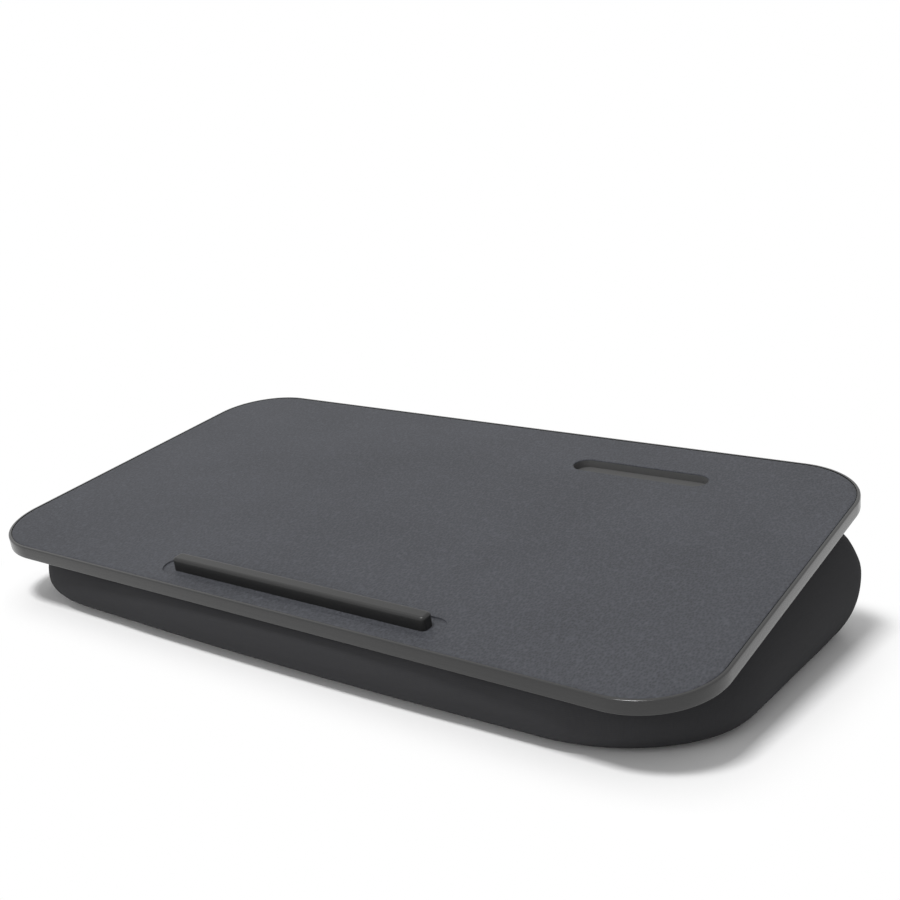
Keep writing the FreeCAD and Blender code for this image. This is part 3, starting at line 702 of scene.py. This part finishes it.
def outer_rims(bm):
    """The upper and the lower edges of the wall's outer side."""
    rims = []
    for edge in bm.edges:
        at_rim = lies_between(edge, 0, 0) or lies_between(edge, -BOARD_THICK, -BOARD_THICK)
        walls = [face for face in edge.link_faces if abs(face.normal.z) < UPRIGHT_LIMIT]
        if at_rim and any(looks_out(face) > 0 for face in walls):
            rims.append(edge)
    return rims


def draw_barb(bm):
    """Draws the inner side of the wall's middle course into the panel's groove."""
    course = []
    for face in bm.faces:
        if lies_between(face, BARB_FOOT, BARB_TOP) and looks_out(face) < 0:
            course.append(face)
    made = bmesh.ops.extrude_face_region(bm, geom=course)
    bmesh.ops.delete(bm, geom=course, context="FACES")
    bm.normal_update()
    for vert in only(made["geom"], BMVert):
        way = Vector((vert.normal.x, vert.normal.y, 0)).normalized()
        vert.co += way * BARB_LENGTH


def make_edge_band(materials):
    """The edging: a wall round the board with soft arrises, and a barb that runs into the panel."""
    bm = bmesh.new()
    draw_wall(bm)
    rims = outer_rims(bm)
    draw_barb(bm)
    bmesh.ops.bevel(bm, geom=rims, offset=BAND_ARRIS, affect="EDGES", segments=ROUND_STEPS, profile=0.5,
                    material=-1)
    place_piece(bm, "board_edging", "desk", materials["edge_plastic"], BOARD_PLACE,
                ("edge_band",))


def make_stop_bar(materials):
    """The bar with its rounded top, and the two pegs that stand in the panel's holes."""
    bm = bmesh.new()
    under = plate(bm, BAR_LENGTH, BAR_WIDTH, BAR_END_ROUND, -RECESS_DEPTH, BAR_RISE, BAR_CENTRE,
                  BAR_EDGE_ROUND)
    pegs = peg_discs(bm, -RECESS_DEPTH, PEG_RADIUS)
    fill_round(bm, under, pegs)
    for peg in pegs:
        peg.normal_flip()
        step_in(bm, peg, 0, PEG_LENGTH - PEG_CHAMFER)
        step_in(bm, peg, PEG_CHAMFER, PEG_CHAMFER)
    bmesh.ops.remove_doubles(bm, verts=bm.verts, dist=DOUBLES)
    place_piece(bm, "rubber_stop_bar", "stop_bar", materials["bar_rubber"], BOARD_PLACE,
                ("stop_bar",))


# Cushion


def apply_modifiers(piece):
    """Puts what the piece's modifiers make into its mesh."""
    depsgraph = bpy.context.evaluated_depsgraph_get()
    mesh = bpy.data.meshes.new_from_object(piece.evaluated_get(depsgraph))
    piece.modifiers.clear()
    piece.data = mesh


def under_board(point):
    """How far the point lies below the board's underside."""
    return -(point - SURFACE_MIDDLE).dot(SURFACE_NORMAL) - BOARD_THICK


def fill_out(bm, form):
    """Moves a smoothed mesh back out, a little past the form that it was made from, and evens the moves,
    so that it stays smooth."""
    gaps = {vert: (form.find_nearest(vert.co)[0] - vert.co).dot(vert.normal) for vert in bm.verts}
    for _ in range(EVEN_ROUNDS):
        evened = {}
        for vert in bm.verts:
            beside = [gaps[edge.other_vert(vert)] for edge in vert.link_edges]
            evened[vert] = sum(beside) / len(beside)
        gaps = evened
    for vert in bm.verts:
        vert.co += vert.normal * (gaps[vert] + FILL_MARGIN)


def smooth_form(piece, form):
    """Takes the steps out of a remeshed piece without thinning it."""
    bm = bmesh.new()
    bm.from_mesh(piece.data)
    for _ in range(SMOOTH_ROUNDS):
        bmesh.ops.smooth_vert(bm, verts=bm.verts, factor=SMOOTH_SHARE, use_axis_x=True, use_axis_y=True,
                              use_axis_z=True)
    bm.normal_update()
    fill_out(bm, form)
    bm.to_mesh(piece.data)
    bm.free()


def swell(piece):
    """Blows the cover up a little from inside, held along its top and its base."""
    rest = [vert.co.copy() for vert in piece.data.vertices]
    held = piece.vertex_groups.new(name="held")
    for vert in piece.data.vertices:
        if vert.co.z < VOXEL or under_board(vert.co) < VOXEL:
            held.add([vert.index], 1.0, "REPLACE")
    cloth = piece.modifiers.new("Cloth", "CLOTH")
    cloth.settings.quality = CLOTH_QUALITY
    cloth.settings.mass = CLOTH_MASS
    cloth.settings.tension_stiffness = CLOTH_STIFFNESS
    cloth.settings.compression_stiffness = CLOTH_STIFFNESS
    cloth.settings.bending_stiffness = CLOTH_BENDING
    cloth.settings.use_pressure = True
    cloth.settings.uniform_pressure_force = PRESSURE
    cloth.settings.effector_weights.gravity = 0
    cloth.settings.vertex_group_mass = "held"
    cloth.point_cache.frame_start = 1
    cloth.point_cache.frame_end = CLOTH_FRAMES
    scene = bpy.context.scene
    for step in range(1, CLOTH_FRAMES + 1):
        scene.frame_set(step)
    apply_modifiers(piece)
    scene.frame_set(1)
    for vert, start in zip(piece.data.vertices, rest):
        move = vert.co - start
        if move.length > MOVE_CAP:
            vert.co = start + move * (MOVE_CAP / move.length)


def settle(piece):
    """Keeps the cushion under the board, and lets it go over softly into the floor that it stands on."""
    for vert in piece.data.vertices:
        short = COVER_GAP - under_board(vert.co)
        if short > 0:
            vert.co -= SURFACE_NORMAL * short
        vert.co.z = (vert.co.z + math.hypot(vert.co.z, FLOOR_SOFTNESS)) / 2
    lowest = min(vert.co.z for vert in piece.data.vertices)
    for vert in piece.data.vertices:
        vert.co.z -= lowest


def cut_out(piece, bm):
    """Cuts a form out of the piece."""
    cutter = add_object("cutter", to_mesh(bm, "cutter"))
    cut = piece.modifiers.new("Cut", "BOOLEAN")
    cut.operation = "DIFFERENCE"
    cut.object = cutter
    cut.solver = "EXACT"
    apply_modifiers(piece)
    bpy.data.objects.remove(cutter)


def room(node, spread, way=Vector()):
    """A node's form, spread a little to all sides, or drawn in where the spread is under 0. The side that
    looks the given way is drawn out past the cushion."""
    bm = hull(node_points(node))
    bm.normal_update()
    for vert in bm.verts:
        shows = vert.normal.dot(way) > 0
        vert.co += vert.normal * spread
        if shows:
            vert.co += way * VOXEL
    return bm


def tape_seat():
    """The room in the cushion's back for the tapes of the zip."""
    margin = Vector((SEAT_CLEARANCE, 0, SEAT_CLEARANCE))
    return block(TAPE_LOW - margin, TAPE_HIGH + margin + Vector((0, VOXEL, 0)))


def slider_slot(depth):
    """The room behind the tapes that the slider runs through, which goes in past the slider by depth."""
    reach = ROW_HIGH.x + STOP_LENGTH + SEAT_CLEARANCE
    low = Vector((-reach, SLIDER_LOW.y - depth, SLIDER_LOW.z - SEAT_CLEARANCE))
    high = Vector((reach, TAPE_HIGH.y + VOXEL, SLIDER_HIGH.z + SEAT_CLEARANCE))
    return block(low, high)


def make_cushion(materials):
    """The padded cover: the CAD form, remeshed, swollen by a cloth simulation, and cut out for what it
    holds."""
    bm = hull(node_points("cushion_cover"))
    form = BVHTree.FromBMesh(bm)
    piece = place_piece(bm, "cushion_body", "desk", materials["cover_knit"],
                        replaces=("cushion_cover",))
    remesh = piece.modifiers.new("Remesh", "REMESH")
    remesh.mode = "VOXEL"
    remesh.voxel_size = VOXEL
    apply_modifiers(piece)
    smooth_form(piece, form)
    swell(piece)
    settle(piece)
    finer = piece.modifiers.new("Finer", "SUBSURF")
    finer.levels = 1
    finer.render_levels = 1
    apply_modifiers(piece)

    rooms = (
        room("foam_core", SEAT_CLEARANCE - FOAM_SLACK),
        room("cover_top_panel", SEAT_CLEARANCE, SURFACE_NORMAL),
        room("base_panel", SEAT_CLEARANCE, Vector((0, 0, -1))),
        tape_seat(),
        slider_slot(SEAT_CLEARANCE),
    )
    for cutter in rooms:
        cut_out(piece, cutter)
    shade(piece.data, COVER_SHARP_DEGREES)


def make_foam(materials):
    """The foam inside the cover, with its channel behind the zip."""
    piece = place_piece(room("foam_core", -FOAM_SLACK), "foam_wedge", "desk",
                        materials["foam_cells"], replaces=("foam_core",))
    cut_out(piece, slider_slot(2 * SEAT_CLEARANCE))


def make_base(materials):
    """The panel under the cushion, with the stitches that join it to the cover."""
    bm = hull(node_points("base_panel"))
    under = min(bm.faces, key=lambda face: face.normal.z)
    bmesh.ops.translate(bm, verts=under.verts, vec=(0, 0, BASE_LIFT))
    area = under.calc_area()
    step_in(bm, under, BASE_SEAM_INSET, 0)
    seam = [vert.co.copy() for vert in under.verts]
    piece = place_piece(bm, "base_cloth_panel", "desk", materials["base_weave"],
                        replaces=("base_panel",))
    thread = place_piece(stitches(stitch_places([*seam, seam[0]])), "base_stitches", "desk",
                         materials["thread"])


def make_lining(materials):
    """The panel that closes the cover under the board."""
    bm = hull(node_points("cover_top_panel"))
    top = max(bm.faces, key=lambda face: face.normal.dot(SURFACE_NORMAL))
    area = top.calc_area()
    piece = place_piece(bm, "lining_panel", "desk", materials["lining_weave"],
                        replaces=("cover_top_panel",))


def make_pads(materials, node, name, material):
    """Six pads cut from tape, in two rows, in the place of a node of pads."""
    points = [BOARD_PLACE.inverted() @ point for point in node_points(node)]
    reach = max(point.x for point in points) - PAD_LENGTH / 2
    front = min(point.y for point in points) + PAD_WIDTH / 2
    rear = max(point.y for point in points) - PAD_WIDTH / 2
    low = min(point.z for point in points)
    high = max(point.z for point in points)
    for row, y in (("front", front), ("rear", rear)):
        for side, x in (("left", -reach), ("middle", 0), ("right", reach)):
            bm = bmesh.new()
            plate(bm, PAD_LENGTH, PAD_WIDTH, PAD_CORNER, low, high, (x, y), PAD_EDGE_ROUND)
            bmesh.ops.remove_doubles(bm, verts=bm.verts, dist=DOUBLES)
            pad = place_piece(bm, "%s_%s_%s" % (name, row, side), "desk",
                              materials[material], BOARD_PLACE, (node,))


# Zip


def make_zip_tapes(materials):
    """The two woven tapes, with the stitches that join them to the cover."""
    low = -TAPE_SIZE.y / 2
    high = TAPE_SIZE.y / 2
    middle = (TAPE_SIZE.z - TAPE_WIDTH) / 2
    seam = TAPE_SIZE.z / 2 - TAPE_SEAM_INSET
    end = TAPE_SIZE.x / 2 - TAPE_SEAM_INSET
    tapes = bmesh.new()
    places = []
    for side in (-1, 1):
        plate(tapes, TAPE_SIZE.x, TAPE_WIDTH, TAPE_CORNER, low, high, (0, side * middle),
              TAPE_EDGE_ROUND)
        places += stitch_places([Vector((-end, side * seam, high)), Vector((end, side * seam, high))])
    bmesh.ops.remove_doubles(tapes, verts=tapes.verts, dist=DOUBLES)
    piece = place_piece(tapes, "zip_tape_pair", "desk", materials["zip_weave"], ZIP_PLACE,
                        ("zip_tapes",))
    thread = place_piece(stitches(places), "zip_stitches", "desk", materials["thread"],
                         ZIP_PLACE)


# CAD nodes that stay


def dress(materials, finishes):
    """Gives each of the nodes its finish."""
    for node, material in finishes.items():
        mesh = frame["nodes"][node].data
        mesh.materials.clear()
        mesh.materials.append(materials[material])


# Stage

WHITE = (1, 1, 1, 1)
FLOOR_REACH = 6
FLOOR_TONE = (0.96, 0.96, 0.96, 1)
FLOOR_ROUGHNESS = 0.9
FLOOR_FADE = 0.05
WORLD_LIGHT = 0.45
LAMP_TARGET = (0, 0, 0)
KEY_PLACE = (-0.2, -2.0, 4.6)
KEY_SIZE = 1.0
KEY_POWER = 150
FILL_SIZE = 1.6
FRONT_FILL_PLACE = (-0.4, -2.8, 0.9)
FRONT_FILL_POWER = 27
REAR_FILL_PLACE = (-1.2, 2.6, 0.9)
REAR_FILL_POWER = 20
CAMERA_PLACE = (0.48947, -0.66823, 0.29440)
CAMERA_TARGET = (-0.0777, 0.15601, 0.075)
LENS = 50
SENSOR_WIDTH = 36


def aim(thing, target):
    """Turns a lamp or the camera to a point."""
    way = Vector(target) - thing.location
    thing.rotation_euler = way.to_track_quat("-Z", "Y").to_euler()


def add_softbox(name, location, size, power, in_gloss=True):
    """A square lamp that looks at the tray. The camera doesn't see it, and gloss may or may not."""
    light = bpy.data.lights.new(name, "AREA")
    light.shape = "SQUARE"
    light.size = size
    light.energy = power
    box = add_object(name, light)
    box.location = location
    aim(box, LAMP_TARGET)
    box.visible_camera = False
    box.visible_glossy = in_gloss


def seen_ray(tree):
    """1 for rays that show the stage itself, from the camera, in gloss or through glass, and 0 for others."""
    path = tree.nodes.new("ShaderNodeLightPath")
    sharp = math_node(tree, "MAXIMUM", path.outputs["Is Glossy Ray"],
                      path.outputs["Is Transmission Ray"])
    return math_node(tree, "MAXIMUM", path.outputs["Is Camera Ray"], sharp)


def past_footprint(tree):
    """How far a point of the floor lies outside the rectangle that the tray covers."""
    past = tree.nodes.new("ShaderNodeTexCoord").outputs["Object"]
    footprint = (BOARD_WIDTH / 2, BOARD_DEPTH / 2, 0)
    for operation, other in (("ABSOLUTE", (0, 0, 0)), ("SUBTRACT", footprint), ("MAXIMUM", (0, 0, 0))):
        past = vector_node(tree, operation, past, other).outputs["Vector"]
    return vector_node(tree, "LENGTH", past).outputs["Value"]


def make_floor_finish():
    """White paint that keeps the shadow under the tray and goes over into plain white beside it."""
    material = bpy.data.materials.new("white_floor")
    material.use_nodes = True
    tree = material.node_tree
    shader = tree.nodes["Principled BSDF"]
    set_inputs(shader, Base_Color=FLOOR_TONE, Roughness=FLOOR_ROUGHNESS, Specular_IOR_Level=0)
    fade = add_node(tree, "ShaderNodeMapRange", From_Max=FLOOR_FADE)
    fade.interpolation_type = "SMOOTHSTEP"
    tree.links.new(past_footprint(tree), fade.inputs["Value"])
    white = add_node(tree, "ShaderNodeEmission", Color=WHITE, Strength=1)
    seen = math_node(tree, "MULTIPLY", fade.outputs["Result"], seen_ray(tree))
    blend = tree.nodes.new("ShaderNodeMixShader")
    tree.links.new(seen, blend.inputs["Fac"])
    tree.links.new(shader.outputs["BSDF"], blend.inputs[1])
    tree.links.new(white.outputs["Emission"], blend.inputs[2])
    tree.links.new(blend.outputs["Shader"], tree.nodes["Material Output"].inputs["Surface"])
    return material


def make_floor():
    """The floor that the tray stands on."""
    bm = bmesh.new()
    bmesh.ops.create_grid(bm, x_segments=1, y_segments=1, size=FLOOR_REACH)
    mesh = to_mesh(bm, "floor")
    mesh.materials.append(make_floor_finish())
    floor = add_object("floor", mesh)


def make_world():
    """White surroundings, which light the tray less strongly than they show."""
    world = bpy.data.worlds.new("studio")
    bpy.context.scene.world = world
    world.use_nodes = True
    tree = world.node_tree
    background = tree.nodes["Background"]
    set_inputs(background, Color=WHITE)
    strength = add_node(tree, "ShaderNodeMapRange", To_Min=WORLD_LIGHT, To_Max=1)
    tree.links.new(seen_ray(tree), strength.inputs["Value"])
    tree.links.new(strength.outputs["Result"], background.inputs["Strength"])


def make_camera():
    """The camera, at the photograph's viewing angle."""
    data = bpy.data.cameras.new("camera")
    data.lens = LENS
    data.sensor_width = SENSOR_WIDTH
    camera = add_object("camera", data)
    camera.location = CAMERA_PLACE
    aim(camera, CAMERA_TARGET)
    bpy.context.scene.camera = camera


# The tray on its stage

materials = make_materials()
make_top_sheet(materials)
make_edge_band(materials)
make_stop_bar(materials)
make_cushion(materials)
make_foam(materials)
make_base(materials)
make_lining(materials)
make_pads(materials, "hook_pads", "hook", "hook_pile")
make_pads(materials, "loop_pads", "loop", "loop_pile")
make_zip_tapes(materials)
dress(materials, {
    "core_panel": "core_fibre",
    "backing_sheet": "backing_film",
    "zip_rows": "zip_moulding",
    "zip_stops": "zip_enamel",
    "zip_slider": "zip_enamel",
    "zip_pull": "zip_enamel",
})

make_floor()
make_world()
add_softbox("key", KEY_PLACE, KEY_SIZE, KEY_POWER)
add_softbox("front_fill", FRONT_FILL_PLACE, FILL_SIZE, FRONT_FILL_POWER, in_gloss=False)
add_softbox("rear_fill", REAR_FILL_PLACE, FILL_SIZE, REAR_FILL_POWER, in_gloss=False)
make_camera()
bpy.context.scene.view_settings.view_transform = "Standard"
